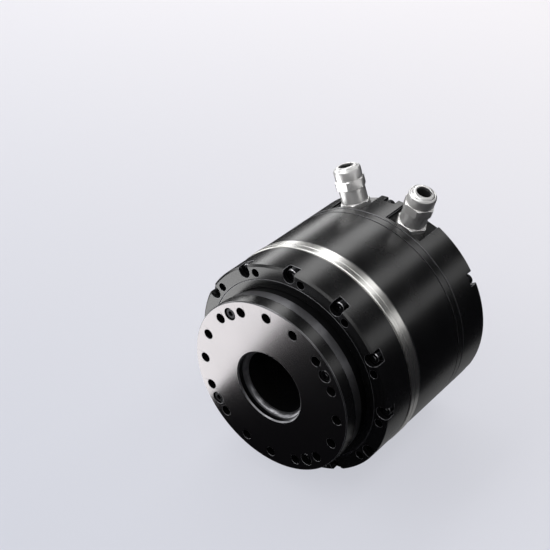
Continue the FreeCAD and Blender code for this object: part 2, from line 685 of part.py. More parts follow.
def housing_parts():
    """The four black housing parts and the screws that clamp them, with the bright band between."""
    front = turned((front_housing_bore_radius + seam_edge, mount_face_depth),
                   (housing_radius - front_edge, mount_face_depth), (housing_radius, mount_face_depth + front_edge),
                   (housing_radius, front_housing_back - seam_edge), (housing_radius - seam_edge, front_housing_back),
                   (front_housing_bore_radius, front_housing_back),
                   (front_housing_bore_radius, mount_face_depth + seam_edge))
    notch_floor = mount_face_depth + housing_notch_depth
    cutters = []
    for cutter in notch(housing_notch_width, housing_screw_circle_radius, mount_face_depth, notch_floor):
        cutters += around(cutter, housing_screw_count)
    cutters += around(rod(small_screw_radius + screw_hole_gap, notch_floor, front_housing_back,
                          housing_screw_circle_radius), housing_screw_count)
    cutters += around(rod(mounting_hole_radius, mount_face_depth, mount_face_depth + mounting_hole_depth,
                          mounting_hole_circle_radius), housing_screw_count, mounting_hole_offset_angle)
    front = front.cut(cutters)
    thread_back = spline_flange_back + housing_thread_length
    screw = socket_screw(notch_floor, thread_back - running_gap - notch_floor, housing_screw_circle_radius)

    hub_radius = shaft_bearing_radius + bearing_hub_wall
    lip_radius = shaft_bearing_radius - bearing_lip_height
    motor = turned((spline_body_radius + fit_gap, spline_flange_back), (housing_radius - seam_edge, spline_flange_back),
                   (housing_radius, spline_flange_back + seam_edge), (housing_radius, motor_housing_back - seam_edge),
                   (housing_radius - seam_edge, motor_housing_back), (motor_housing_bore_radius, motor_housing_back),
                   (motor_housing_bore_radius, motor_wall_back), (hub_radius, motor_wall_back),
                   (hub_radius, front_bearing_back), (shaft_bearing_radius + fit_gap, front_bearing_back),
                   (shaft_bearing_radius + fit_gap, front_bearing_front), (lip_radius, front_bearing_front),
                   (lip_radius, motor_wall_front), (spline_body_radius + fit_gap, motor_wall_front))
    front_thread = rod(small_screw_radius + thread_gap, spline_flange_back, thread_back,
                       housing_screw_circle_radius)
    rear_thread = rod(small_screw_radius + thread_gap, motor_housing_back - housing_thread_length,
                      motor_housing_back, housing_screw_circle_radius)
    motor = motor.cut(around(front_thread, housing_screw_count)
                      + around(rear_thread, rear_screw_count, rear_screw_first_angle))

    pilot_radius = motor_housing_bore_radius - fit_gap
    pilot_front = motor_housing_back - bearing_lip_height
    plate = turned((shaft_bearing_radius + fit_gap, rear_bearing_front), (hub_radius, rear_bearing_front),
                   (hub_radius, motor_housing_back), (pilot_radius - bearing_hub_wall, motor_housing_back),
                   (pilot_radius - bearing_hub_wall, pilot_front), (pilot_radius, pilot_front),
                   (pilot_radius, motor_housing_back), (housing_radius - seam_edge, motor_housing_back),
                   (housing_radius, motor_housing_back + seam_edge), (housing_radius, rear_plate_back - seam_edge),
                   (housing_radius - seam_edge, rear_plate_back), (hub_radius, rear_plate_back),
                   (hub_radius, rear_bearing_back + bearing_lip_width),
                   (lip_radius, rear_bearing_back + bearing_lip_width), (lip_radius, rear_bearing_back),
                   (shaft_bearing_radius + fit_gap, rear_bearing_back))
    plate = plate.cut(around(rod(small_screw_radius + screw_hole_gap, motor_housing_back, rear_plate_back,
                                 housing_screw_circle_radius), rear_screw_count, rear_screw_first_angle))

    tube_hole = tube_radius + 2 * running_gap
    seal_seat = rear_cover_back - rear_seal_width
    cover = turned((rear_cover_cavity_radius, rear_plate_back), (housing_radius - seam_edge, rear_plate_back),
                   (housing_radius, rear_plate_back + seam_edge), (housing_radius, rear_cover_back - rear_edge),
                   (housing_radius - rear_edge, rear_cover_back), (rear_seal_radius, rear_cover_back),
                   (rear_seal_radius, seal_seat), (tube_hole, seal_seat), (tube_hole, rear_cavity_back),
                   (rear_cover_cavity_radius, rear_cavity_back))
    rear_floor = rear_cover_back - rear_notch_depth
    cutters = []
    for cutter in notch(housing_notch_width, housing_screw_circle_radius, rear_floor, rear_cover_back):
        cutters += around(cutter, rear_screw_count, rear_screw_first_angle)
    cutters += around(rod(small_screw_radius + screw_hole_gap, rear_plate_back, rear_floor,
                          housing_screw_circle_radius), rear_screw_count, rear_screw_first_angle)
    pocket = block(pocket_floor_radius, band_radius + front_edge, pocket_width,
                   rear_plate_back + pocket_setback, rear_cover_back)
    gland_hole = Part.makeCylinder(gland_thread_radius + thread_gap, pocket_floor_radius - shaft_bearing_radius,
                                   Vector(shaft_bearing_radius, gland_depth - mount_face_depth, 0),
                                   Vector(1, 0, 0))
    for angle in (90 - gland_half_spread, 90 + gland_half_spread):
        cutters += [turn(pocket, angle), turn(gland_hole, angle)]
    cover = cover.cut(cutters)
    rear_length = rear_floor - motor_housing_back + housing_thread_length - running_gap
    rear_screw = socket_screw(rear_floor, rear_length, housing_screw_circle_radius, -1)
    return {"front_housing": front, "motor_housing": motor, "rear_bearing_plate": plate, "rear_cover": cover,
            "front_housing_screws": around(screw, housing_screw_count),
            "rear_cover_screws": around(rear_screw, rear_screw_count, rear_screw_first_angle)}


def seals():
    """The output seal behind its retaining ring, and the small seal round the rear of the tube."""
    outside = front_housing_bore_radius - fit_gap
    retainer = turned((hub_neck_radius + running_gap, retainer_front), (outside - seam_edge, retainer_front),
                      (outside, retainer_front + seam_edge), (outside, retainer_back),
                      (hub_neck_radius + running_gap, retainer_back))
    output_seal = ring(hub_neck_radius + running_gap, outside, retainer_back, seal_back)
    tube_seal = ring(tube_radius + running_gap, rear_seal_radius - fit_gap, rear_cover_back - rear_seal_width,
                     rear_cover_back - tube_rear_recess)
    return {"seal_retainer": retainer, "output_seal": output_seal, "rear_tube_seal": tube_seal}


def hollow_tube():
    """The tube that cables run through. It turns with the flange, whose bore holds its collar."""
    collar_back = tube_collar_front + tube_collar_width
    return turned((tube_bore_radius, tube_collar_front), (flange_bore_radius - fit_gap, tube_collar_front),
                  (flange_bore_radius - fit_gap, collar_back), (tube_radius, collar_back),
                  (tube_radius, rear_cover_back - tube_rear_recess),
                  (tube_bore_radius, rear_cover_back - tube_rear_recess))


def brake():
    """The spring-applied brake: with no current the armature presses the disc on the end plate, and
    the coil draws it back across the air gap."""
    coil_back = brake_body_back - brake_coil_recess
    coil_front = brake_body_back - brake_coil_depth
    body = turned((brake_body_bore_radius, rear_plate_back), (brake_body_radius, rear_plate_back),
                  (brake_body_radius, brake_body_back), (brake_coil_outer_radius, brake_body_back),
                  (brake_coil_outer_radius, coil_front), (brake_coil_inner_radius, coil_front),
                  (brake_coil_inner_radius, brake_body_back), (brake_body_bore_radius, brake_body_back))
    coil = ring(brake_coil_inner_radius + fit_gap, brake_coil_outer_radius - fit_gap, coil_front, coil_back)
    armature = ring(armature_bore_radius, brake_body_radius, armature_front, brake_disc_front)
    slot = rod(brake_post_radius + brake_post_gap, armature_front, brake_disc_front, brake_post_circle_radius)
    slot_mouth = block(brake_post_circle_radius, brake_body_radius + front_edge,
                       2 * (brake_post_radius + brake_post_gap), armature_front, brake_disc_front)
    armature = armature.cut(around(slot, brake_post_count) + around(slot_mouth, brake_post_count))
    hub_front = brake_disc_back - brake_hub_length
    disc = turned((shaft_radius + fit_gap, hub_front), (brake_hub_radius, hub_front),
                  (brake_hub_radius, brake_disc_front), (brake_disc_radius, brake_disc_front),
                  (brake_disc_radius, brake_disc_back), (shaft_radius + fit_gap, brake_disc_back))
    plate = ring(brake_plate_bore_radius, brake_body_radius, brake_disc_back, brake_plate_back)
    post = rod(brake_post_radius, brake_body_back, brake_disc_back, brake_post_circle_radius)
    return {"brake_magnet_body": body, "brake_coil": coil, "brake_armature": armature, "brake_disc": disc,
            "brake_end_plate": plate, "brake_posts": around(post, brake_post_count)}


def encoders():
    """The two encoder discs, the board between them with its reading heads, and the board's posts."""
    motor_disc = ring(shaft_radius + fit_gap, motor_encoder_radius, motor_encoder_front, motor_encoder_back)
    output_disc = ring(tube_radius + fit_gap, output_encoder_radius, output_encoder_front,
                       output_encoder_back)
    board = ring(board_bore_radius, board_radius, board_front, board_back)
    post = rod(board_post_radius, rear_plate_back, board_front, board_post_circle_radius)
    head_middle = (board_bore_radius + output_encoder_radius) / 2
    head_inner = head_middle - readhead_size / 2
    head_outer = head_middle + readhead_size / 2
    heads = [block(head_inner, head_outer, readhead_size, board_front - readhead_height, board_front),
             block(head_inner, head_outer, readhead_size, board_back, board_back + readhead_height)]
    transistor = block(transistor_circle_radius - transistor_size / 2, transistor_circle_radius + transistor_size / 2,
                       transistor_size, board_front - transistor_height, board_front)
    return {"motor_encoder_disc": motor_disc, "output_encoder_disc": output_disc, "drive_board": board,
            "board_posts": around(post, board_post_count, board_post_first_angle), "encoder_readheads": heads,
            "power_transistors": around(transistor, transistor_count, board_post_first_angle / transistor_count)}


def gland_turned(*profile):
    """A solid turned about a gland's axis, from (radius, distance from the actuator's axis) points."""
    level = gland_depth - mount_face_depth
    points = [Vector(distance, level + radius, 0) for radius, distance in profile]
    solid = Part.Face(Part.makePolygon(points + points[:1])).revolve(Vector(0, level, 0), Vector(1, 0, 0), 360)
    if solid.Volume < 0:
        solid.reverse()
    return solid


def gland_hexagon(bottom, top):
    """A hexagonal bar about a gland's axis whose corners are turned to a cylinder."""
    level = gland_depth - mount_face_depth
    wire = hexagon(gland_key_width, Vector(bottom, level, 0), Vector(1, 0, 0), Vector(0, 1, 0))
    bar = Part.Face(wire).extrude(Vector(top - bottom, 0, 0))
    edge = gland_corner_radius - gland_key_width / 2
    rounder = gland_turned((0, bottom), (gland_corner_radius - edge / 2, bottom),
                           (gland_corner_radius, bottom + edge / 3), (gland_corner_radius, top - edge / 3),
                           (gland_corner_radius - edge / 2, top), (0, top))
    return bar.common(rounder)


def gland(angle):
    """A cable gland: its body is screwed into the cover, and a domed nut presses a rubber insert."""
    inner_end = rear_cover_cavity_radius + gland_dome_radius / 2
    base_top = pocket_floor_radius + gland_base_height
    neck_top = base_top + gland_neck_height
    hex_top = neck_top + gland_hex_height
    nut_top = hex_top + gland_nut_height
    dome_top = nut_top + gland_dome_height
    sleeve_top = nut_top - running_gap
    outside = gland_turned((0, inner_end), (gland_thread_radius, inner_end),
                           (gland_thread_radius, pocket_floor_radius), (gland_neck_radius, pocket_floor_radius),
                           (gland_neck_radius, neck_top), (gland_sleeve_radius, neck_top),
                           (gland_sleeve_radius, sleeve_top), (0, sleeve_top))
    bore = gland_turned((0, inner_end), (gland_bore_radius, inner_end), (gland_bore_radius, sleeve_top),
                        (0, sleeve_top))
    body = outside.fuse(gland_hexagon(pocket_floor_radius, base_top)).cut(bore)
    nut = gland_hexagon(neck_top, hex_top)
    shoulder = dome_top - gland_dome_radius
    dome = gland_turned((0, neck_top), (gland_nut_radius, neck_top), (gland_nut_radius, dome_top), (0, dome_top))
    level = gland_depth - mount_face_depth
    rim = [edge for edge in dome.Edges if edge.BoundBox.XMin > dome_top - fit_gap
           and edge.BoundBox.YMax > level + gland_nut_radius - fit_gap]
    dome = dome.makeFillet(gland_dome_radius, rim)
    inside = gland_turned((0, neck_top), (gland_sleeve_radius + thread_gap, neck_top),
                          (gland_sleeve_radius + thread_gap, nut_top), (gland_opening_radius, shoulder + 1.2),
                          (gland_opening_radius, dome_top), (0, dome_top))
    nut = nut.fuse(dome).cut(inside)
    insert = gland_turned((gland_insert_bore_radius, base_top), (gland_bore_radius - fit_gap, base_top),
                          (gland_bore_radius - fit_gap, sleeve_top - fit_gap),
                          (gland_insert_bore_radius, sleeve_top - fit_gap))
    return [turn(piece, angle) for piece in (body, nut, insert)]


def build():
    """Every node of the actuator, by name."""
    nodes = {}
    nodes.update(flange_parts())
    nodes.update(main_bearing())
    nodes["circular_spline"] = circular_spline()
    nodes["flexspline"] = flexspline()
    nodes["flexspline_screws"] = gear_screws()
    nodes.update(wave_generator())
    for name, front in (("front", front_bearing_front), ("rear", rear_bearing_front)):
        outer, inner, balls = shaft_bearing(front)
        nodes[name + "_bearing_outer_ring"] = outer
        nodes[name + "_bearing_inner_ring"] = inner
        nodes[name + "_bearing_balls"] = balls
    nodes["motor_shaft"] = motor_shaft()
    nodes["rotor_core"], nodes["rotor_magnets"] = rotor()
    nodes["stator_core"], nodes["stator_coils"] = stator()
    nodes.update(housing_parts())
    nodes.update(seals())
    nodes["hollow_tube"] = hollow_tube()
    nodes.update(brake())
    nodes.update(encoders())
    for side, angle in (("right", 90 - gland_half_spread), ("left", 90 + gland_half_spread)):
        body, nut, insert = gland(angle)
        nodes[side + "_gland_body"] = body
        nodes[side + "_gland_nut"] = nut
        nodes[side + "_gland_insert"] = insert
    return nodes


os.makedirs("parts", exist_ok=True)
for name, shape in build().items():
    solids = shape if isinstance(shape, list) else shape.Solids
    Part.makeCompound(solids).exportStep("parts/" + name + ".step")
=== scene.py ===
import math

import bmesh
import bpy
from mathutils import Matrix, Vector


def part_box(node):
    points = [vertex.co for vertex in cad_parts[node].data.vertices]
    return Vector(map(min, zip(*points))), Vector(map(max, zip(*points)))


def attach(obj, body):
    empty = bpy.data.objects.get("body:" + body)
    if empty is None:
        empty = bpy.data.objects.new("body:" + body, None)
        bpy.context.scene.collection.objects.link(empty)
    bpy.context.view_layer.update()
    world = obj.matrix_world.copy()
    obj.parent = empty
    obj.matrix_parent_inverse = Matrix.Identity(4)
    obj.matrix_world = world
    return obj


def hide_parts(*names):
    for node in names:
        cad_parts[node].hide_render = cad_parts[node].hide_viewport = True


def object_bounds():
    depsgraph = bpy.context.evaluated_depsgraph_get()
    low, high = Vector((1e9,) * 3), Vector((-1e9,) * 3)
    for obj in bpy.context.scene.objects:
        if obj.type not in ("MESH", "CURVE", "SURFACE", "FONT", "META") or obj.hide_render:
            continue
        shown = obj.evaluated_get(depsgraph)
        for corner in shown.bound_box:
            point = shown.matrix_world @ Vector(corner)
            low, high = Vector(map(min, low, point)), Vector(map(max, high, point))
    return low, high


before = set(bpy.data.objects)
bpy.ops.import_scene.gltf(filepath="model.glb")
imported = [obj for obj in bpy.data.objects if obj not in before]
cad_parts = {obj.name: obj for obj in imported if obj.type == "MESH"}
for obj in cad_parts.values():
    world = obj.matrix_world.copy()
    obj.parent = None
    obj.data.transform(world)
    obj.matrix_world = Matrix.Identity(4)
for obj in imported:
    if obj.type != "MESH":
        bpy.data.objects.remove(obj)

cad_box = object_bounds()


# The camera stands in front of the output face, to its right and above, and looks down on it.
def standing_at(place, across, upward, backward):
    """The matrix that puts a thing at a place, with its own axes along three directions."""
    return Matrix.Translation(place) @ Matrix((across, upward, backward)).transposed().to_4x4()


camera = bpy.data.objects.new("camera", bpy.data.cameras.new("camera"))
camera.data.lens = 76.63
camera.data.sensor_width = 36.0
camera.data.clip_start = 0.01
camera.matrix_world = standing_at(
    (0.27634, -0.34099, 0.33759),
    (0.778523, 0.627103, -0.025391), (-0.324199, 0.436462, 0.839283), (0.537400, -0.645169, 0.543101))
bpy.context.scene.collection.objects.link(camera)
bpy.context.scene.camera = camera
bpy.context.scene.view_settings.view_transform = "Standard"


# Studio sweep: a pale lacquered floor of painted board that curves up into a wall all round. It is hidden
# from glossy rays, so the black finish shows the lamps and the dark room but not the floor.
def linear(colour):
    """An sRGB hex colour as linear red, green, blue and alpha."""
    parts = [int(colour[i:i + 2], 16) / 255 for i in (1, 3, 5)]
    return tuple(c / 12.92 if c <= 0.04045 else ((c + 0.055) / 1.055) ** 2.4 for c in parts) + (1.0,)


def new_material(name):
    """A material with an empty node tree."""
    material = bpy.data.materials.new(name)
    material.use_nodes = True
    material.node_tree.nodes.clear()
    return material


def node(material, kind, links=None, sockets=None, **settings):
    """Adds a node: settings are its own, sockets are its inputs' values, links are inputs fed by outputs."""
    added = material.node_tree.nodes.new(kind)
    for name, value in settings.items():
        setattr(added, name, value)
    for name, value in (sockets or {}).items():
        added.inputs[name].default_value = value
    for name, output in (links or {}).items():
        material.node_tree.links.new(output, added.inputs[name])
    return added


def own_place(material):
    """The place of each point in the object's own coordinates, in metres."""
    return node(material, "ShaderNodeTexCoord").outputs["Object"]


def noise(material, scale, detail):
    """Soft noise from 0 to 1 all through the object; scale is its features per metre."""
    return node(material, "ShaderNodeTexNoise", {"Vector": own_place(material)},
                {"Scale": scale, "Detail": detail}).outputs["Fac"]


def two_tone(material, factor, first, second):
    """A colour that goes from one sRGB tone to another as the factor rises."""
    return node(material, "ShaderNodeMix", {"Factor": factor}, {"A": linear(first), "B": linear(second)},
                data_type="RGBA").outputs["Result"]


def stretch(material, value, low, high, start=0.3, end=0.7):
    """Makes what lies between start and end, which is most of a noise, run from low to high."""
    return node(material, "ShaderNodeMapRange", {"Value": value},
                {"From Min": start, "From Max": end, "To Min": low, "To Max": high}).outputs["Result"]


def maths(material, operation, *terms):
    """What a maths node gives for its terms, which are numbers or other nodes' outputs."""
    numbers = {index: term for index, term in enumerate(terms) if isinstance(term, float)}
    outputs = {index: term for index, term in enumerate(terms) if not isinstance(term, float)}
    return node(material, "ShaderNodeMath", outputs, numbers, operation=operation).outputs["Value"]


def spun(points, axis, steps, closed=True):
    """A bmesh of an outline in metres, spun a full turn about an axis through the origin."""
    bm = bmesh.new()
    loop = [bm.verts.new(point) for point in points]
    lines = [bm.edges.new(pair) for pair in zip(loop, loop[1:] + loop[:1] * closed)]
    bmesh.ops.spin(bm, geom=loop + lines, cent=(0, 0, 0), axis=axis, angle=math.tau, steps=steps,
                   use_merge=True)
    return bm


def shade_smooth(mesh):
    """Smooth shading, with edges sharper than 32 degrees kept crisp."""
    mesh.polygons.foreach_set("use_smooth", [True] * len(mesh.polygons))
    mesh.set_sharp_from_angle(angle=math.radians(32))


def piece_from(bm, name, materials):
    """A finished piece at the origin, from a bmesh whose normals are made to face outwards."""
    bmesh.ops.remove_doubles(bm, verts=bm.verts, dist=1e-7)
    bmesh.ops.recalc_face_normals(bm, faces=bm.faces)
    mesh = bpy.data.meshes.new(name)
    bm.to_mesh(mesh)
    bm.free()
    for material in materials:
        mesh.materials.append(material)
    shade_smooth(mesh)
    piece = bpy.data.objects.new(name, mesh)
    bpy.context.scene.collection.objects.link(piece)
    return piece


sweep_lacquer = new_material("lacquered_studio_floor")
tint = two_tone(sweep_lacquer, noise(sweep_lacquer, 1.3, 2.0), "#e2e2e9", "#e7e6ed")
coating = node(sweep_lacquer, "ShaderNodeBsdfPrincipled", {"Base Color": tint},
               {"Roughness": 0.4, "IOR": 1.35})

# The eye is given a paler, more even floor than the lamps give: cool before the actuator and white
# behind it. A fifth of what the lamps draw on it stays, and so does the shadow.
near_tone_y = -0.12
far_tone_y = 0.62
even_share = 0.78
spot = node(sweep_lacquer, "ShaderNodeSeparateXYZ", {"Vector": own_place(sweep_lacquer)})
distance = stretch(sweep_lacquer, spot.outputs["Y"], 0.0, 1.0, near_tone_y, far_tone_y)
glow = node(sweep_lacquer, "ShaderNodeEmission",
            {"Color": two_tone(sweep_lacquer, distance, "#cdd0da", "#fcf9fc")}, {"Strength": 1.0})
ray = node(sweep_lacquer, "ShaderNodeLightPath")
seen = maths(sweep_lacquer, "ADD", ray.outputs["Is Camera Ray"], ray.outputs["Is Glossy Ray"])
seen_through = maths(sweep_lacquer, "ADD", seen, ray.outputs["Is Transmission Ray"])
share = maths(sweep_lacquer, "MULTIPLY", seen_through, even_share)
surface = node(sweep_lacquer, "ShaderNodeMixShader",
               {0: share, 1: coating.outputs["BSDF"], 2: glow.outputs["Emission"]})
node(sweep_lacquer, "ShaderNodeOutputMaterial", {"Surface": surface.outputs["Shader"]})

floor_level = cad_box[0][2]
flat_radius = 3.0
bend_radius = 1.2
wall_top = floor_level + 2.6
outline = [(0.0, 0.0, floor_level), (flat_radius, 0.0, floor_level)]
for bend in (math.radians(7.5 * step) for step in range(1, 13)):
    outline.append((flat_radius + bend_radius * math.sin(bend), 0.0,
                    floor_level + bend_radius * (1 - math.cos(bend))))
outline.append((flat_radius + bend_radius, 0.0, wall_top))
floor = piece_from(spun(outline, (0, 0, 1), 64, closed=False), "studio_sweep", [sweep_lacquer])
floor.data.flip_normals()
floor.visible_glossy = False


# Studio lamps: long softboxes beside the actuator's axis, which draw streaks along the barrel, and
# two panels that lie on the floor, one before the output face and one under the barrel.
strip_length = 3.2
strip_distance = 0.9
strip_middle = 0.45
panel_lift = 0.0005
along = Vector((0.0, 1.0, 0.0))


def outward(angle):
    """The direction away from the actuator's axis at an angle about it, from +X towards +Z."""
    return Vector((math.cos(math.radians(angle)), 0.0, math.sin(math.radians(angle))))


def area_lamp(name, size, level, placed):
    """A rectangular lamp that the camera doesn't see; level is its radiance."""
    lamp = bpy.data.objects.new(name, bpy.data.lights.new(name, "AREA"))
    lamp.data.shape = "RECTANGLE"
    lamp.data.size, lamp.data.size_y = size
    lamp.data.energy = level * math.pi * lamp.data.size * lamp.data.size_y
    lamp.matrix_world = placed
    lamp.visible_camera = False
    bpy.context.scene.collection.objects.link(lamp)


def softbox(name, angle, width, level):
    """A strip lamp along the axis, at an angle about it; its width is the angle that it fills."""
    out = outward(angle)
    size = (strip_length, 2 * strip_distance * math.tan(math.radians(width / 2)))
    place = out * strip_distance + along * strip_middle
    area_lamp(name, size, level, standing_at(place, along, out.cross(along), out))


def floor_panel(name, middle, size, level, turn):
    """A panel lamp that lies on the floor, turned by an angle, and shines up."""
    place = Matrix.Translation((middle[0], middle[1], floor_level + panel_lift))
    turned_up = Matrix.Rotation(math.radians(turn), 4, "Z") @ Matrix.Rotation(math.pi, 4, "X")
    area_lamp(name, size, level, place @ turned_up)


softbox("low_right_strip", 24, 16, 1.1)
softbox("high_right_strip", 66, 16, 1.9)
softbox("top_strip", 118, 20, 3.3)
softbox("left_strip", 168, 16, 2.9)
floor_panel("face_panel", (-0.1875, -0.0921), (0.227, 0.22), 4.0, turn=-9.1)
floor_panel("barrel_glow", (0.0125, 0.114), (0.125, 0.212), 0.24, turn=0.0)

# A wide softbox before the actuator and above it draws the bright crescents on broken edges.
key_place = Vector((-0.25, -0.85, 0.6))
key_turn = key_place.to_track_quat("Z", "Y").to_matrix().to_4x4()
area_lamp("front_key", (1.7, 0.6), 1.8, Matrix.Translation(key_place) @ key_turn)
room = bpy.data.worlds.new("studio_room")
room.use_nodes = True
room.node_tree.nodes["Background"].inputs["Color"].default_value = linear("#1c1c1f")
bpy.context.scene.world = room


# Front housing: a turned ring of aluminium, hard-anodised black. Twelve screws stand in notches that
# break out through its side, and twelve small holes in its face take the bolts that hold it down.
mm = 0.001
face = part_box("output_flange")[0].y
screw_circle = 52.2
front_screw_angles = range(0, 360, 30)
head_room_radius = 3.15
notch_reach = 3.8
screw_hole_radius = 1.7


def turned(name, profile, materials, steps=192):
    """A piece spun about the axis from (radius, depth) points in mm; depth is from the output face."""
    points = [(radius * mm, face + depth * mm, 0.0) for radius, depth in profile]
    return piece_from(spun(points, along, steps), name, materials)


def about_axis(angle, radius, depth):
    """The matrix that puts a shape at a radius and a depth in mm, at an angle about the axis."""
    place = Matrix.Translation((radius * mm, face + depth * mm, 0.0))
    return Matrix.Rotation(-math.radians(angle), 4, "Y") @ place


def add_rod(bm, radius, front, back, circle_radius, angle, segments=40):
    """Adds a round rod that lies along the axis, on a circle about it."""
    middle = about_axis(angle, circle_radius, (front + back) / 2) @ Matrix.Rotation(-math.pi / 2, 4, "X")
    bmesh.ops.create_cone(bm, cap_ends=True, segments=segments, radius1=radius * mm, radius2=radius * mm,
                          depth=(back - front) * mm, matrix=middle)


def add_block(bm, inner, outer, width, front, back, angle):
    """Adds a block that reaches from one radius to another, at an angle about the axis."""
    middle = about_axis(angle, (inner + outer) / 2, (front + back) / 2)
    shape = Matrix.Diagonal(((outer - inner) * mm, (back - front) * mm, width * mm, 1.0))
    bmesh.ops.create_cube(bm, size=1.0, matrix=middle @ shape)


def add_notch(bm, front, back, angle):
    """Adds the room for a screw's head, as one solid: round, and open through the housing's side."""
    arc = [math.radians(turn) for turn in range(90, 271, 9)]
    outline = [(head_room_radius * math.cos(turn), head_room_radius * math.sin(turn)) for turn in arc]
    outline += [(notch_reach, -head_room_radius), (notch_reach, head_room_radius)]
    ends = []
    for depth in (front, back):
        spot = about_axis(angle, screw_circle, depth)
        ends.append([bm.verts.new(spot @ Vector((x * mm, 0.0, z * mm))) for x, z in outline])
        bm.faces.new(ends[-1])
    for side in zip(ends[0], ends[0][1:] + ends[0][:1], ends[1][1:] + ends[1][:1], ends[1]):
        bm.faces.new(side)


def work_on(piece, tool, operation="DIFFERENCE"):
    """Cuts a tool's shape out of a piece, joins the two, or keeps what they share."""
    bmesh.ops.recalc_face_normals(tool, faces=tool.faces)
    mesh = bpy.data.meshes.new("cutter")
    tool.to_mesh(mesh)
    tool.free()
    cutter = bpy.data.objects.new("cutter", mesh)
    bpy.context.scene.collection.objects.link(cutter)
    cut = piece.modifiers.new("cut", "BOOLEAN")
    cut.operation = operation
    cut.solver = "EXACT"
    cut.use_self = True
    cut.object = cutter
    worked = piece.evaluated_get(bpy.context.evaluated_depsgraph_get())
    finished = bpy.data.meshes.new_from_object(worked)
    piece.modifiers.clear()
    piece.data = finished
    bpy.data.objects.remove(cutter)
    return piece


def break_edges(piece, width=0.2, angle=34):
    """Breaks the edges sharper than an angle by a small bevel, in the piece's second material."""
    bm = bmesh.new()
    bm.from_mesh(piece.data)
    bmesh.ops.remove_doubles(bm, verts=bm.verts, dist=2e-6)
    bmesh.ops.dissolve_degenerate(bm, edges=bm.edges, dist=2e-6)
    bm.to_mesh(piece.data)
    bm.free()
    bevel = piece.modifiers.new("broken_edges", "BEVEL")
    bevel.width = width * mm
    bevel.segments = 2
    bevel.limit_method = "ANGLE"
    bevel.angle_limit = math.radians(angle)
    bevel.material = 1
    bevel.harden_normals = True
    bevel.use_clamp_overlap = False
    bevel.miter_outer = "MITER_ARC"
    shade_smooth(piece.data)


def turning_marks(material, pitch):
    """The fine lines a lathe leaves: a random tone that changes with radius and depth, at a pitch in mm."""
    place = own_place(material)
    flat = node(material, "ShaderNodeVectorMath", {0: place}, {1: (1.0, 0.0, 1.0)}, operation="MULTIPLY")
    radius = node(material, "ShaderNodeVectorMath", {0: flat.outputs["Vector"]}, operation="LENGTH")
    depth = node(material, "ShaderNodeSeparateXYZ", {"Vector": place})
    travel = maths(material, "ADD", radius.outputs["Value"], depth.outputs["Y"])
    return node(material, "ShaderNodeTexNoise", {"W": travel},
                {"Scale": 1.0 / (pitch * mm), "Detail": 3.0, "Roughness": 0.6},
                noise_dimensions="1D").outputs["Fac"]


def bump(material, height, strength, depth, under=None):
    """A normal that is raised by a height from 0 to 1, at most by a depth in mm, over the bump under it."""
    links = {"Height": height, "Normal": under} if under else {"Height": height}
    sockets = {"Strength": strength, "Distance": depth * mm}
    return node(material, "ShaderNodeBump", links, sockets).outputs["Normal"]


def give_skin(material, links, sockets):
    """Ends a material with its surface shader: links are its inputs fed by nodes, sockets its constants."""
    skin = node(material, "ShaderNodeBsdfPrincipled", links, sockets)
    node(material, "ShaderNodeOutputMaterial", {"Surface": skin.outputs["BSDF"]})


# Hard-anodised aluminium: near-black and satin, so lamps show as blurred streaks; the lathe's lines
# are drawn at 0.35 mm, coarser than the real 0.1 mm, so that they show.
anodised = new_material("hard_anodised_aluminium")
cloud = noise(anodised, 55.0, 4.0)
black = two_tone(anodised, cloud, "#050506", "#0a0a0b")
lathe_lines = bump(anodised, turning_marks(anodised, 0.35), 0.05, 0.04)
grain = bump(anodised, noise(anodised, 2600.0, 2.0), 0.06, 0.03, under=lathe_lines)
give_skin(anodised, {
    "Base Color": black, "Roughness": stretch(anodised, cloud, 0.235, 0.285), "Normal": grain}, {"IOR": 1.52})

# Anodising is thinner and paler where an edge was broken, so each edge draws a soft grey line.
edge_anodising = new_material("anodising_on_a_broken_edge")
rub = two_tone(edge_anodising, noise(edge_anodising, 420.0, 4.0), "#505053", "#868689")
give_skin(edge_anodising, {"Base Color": rub}, {"Roughness": 0.3, "Metallic": 0.85})

front_housing = turned("front_housing_ring", [
    (54.0, 16.4), (55.0, 17.4), (55.0, 35.05), (54.45, 35.1), (54.45, 35.4), (47.9, 35.4), (47.9, 16.4)],
    [anodised, edge_anodising])
notches = bmesh.new()
for angle in front_screw_angles:
    add_notch(notches, 16.3, 21.9, angle)
    add_rod(notches, screw_hole_radius, 21.8, 35.5, screw_circle, angle, segments=24)
    add_rod(notches, 2.1, 16.3, 26.4, 50.9, angle - 7.6, segments=32)
break_edges(work_on(front_housing, notches), angle=50)
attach(front_housing, "housing")
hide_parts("front_housing")

# Seal and its retaining ring: a ring of nitrile rubber round the hub keeps grease in, and a thin
# anodised ring, pressed into the mouth of the front housing, holds it there.
# Nitrile rubber: dull charcoal, a little pale with bloom, and finely pored.
rubber = new_material("nitrile_rubber")
bloom = two_tone(rubber, noise(rubber, 140.0, 4.0), "#0e0e0f", "#191919")
pores = bump(rubber, noise(rubber, 1900.0, 2.0), 0.25, 0.05)
give_skin(rubber, {"Base Color": bloom, "Normal": pores}, {"Roughness": 0.62, "IOR": 1.52})

seal = turned("output_lip_seal", [
    (43.5, 18.8), (47.87, 18.8), (47.87, 21.6), (45.6, 21.6), (44.9, 20.4), (44.1, 21.4), (43.5, 21.2)],
    [rubber])
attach(seal, "housing")
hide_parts("output_seal")
retainer = turned("seal_retaining_ring", [
    (43.5, 16.6), (47.62, 16.6), (47.87, 16.85), (47.87, 18.8), (43.5, 18.8)], [anodised, edge_anodising])
break_edges(retainer, 0.12)
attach(retainer, "housing")
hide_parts("seal_retainer")


# Crossed-roller bearing: rollers lie in a V between two hardened rings, every other one leaning the
# other way. The outer ring's flange is clamped in the housing and is the front half of the band.
def finish_with(material, *names):
    """Gives CAD nodes a material in place of the plain one they were packed with."""
    for name in names:
        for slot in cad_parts[name].material_slots:
            slot.material = material


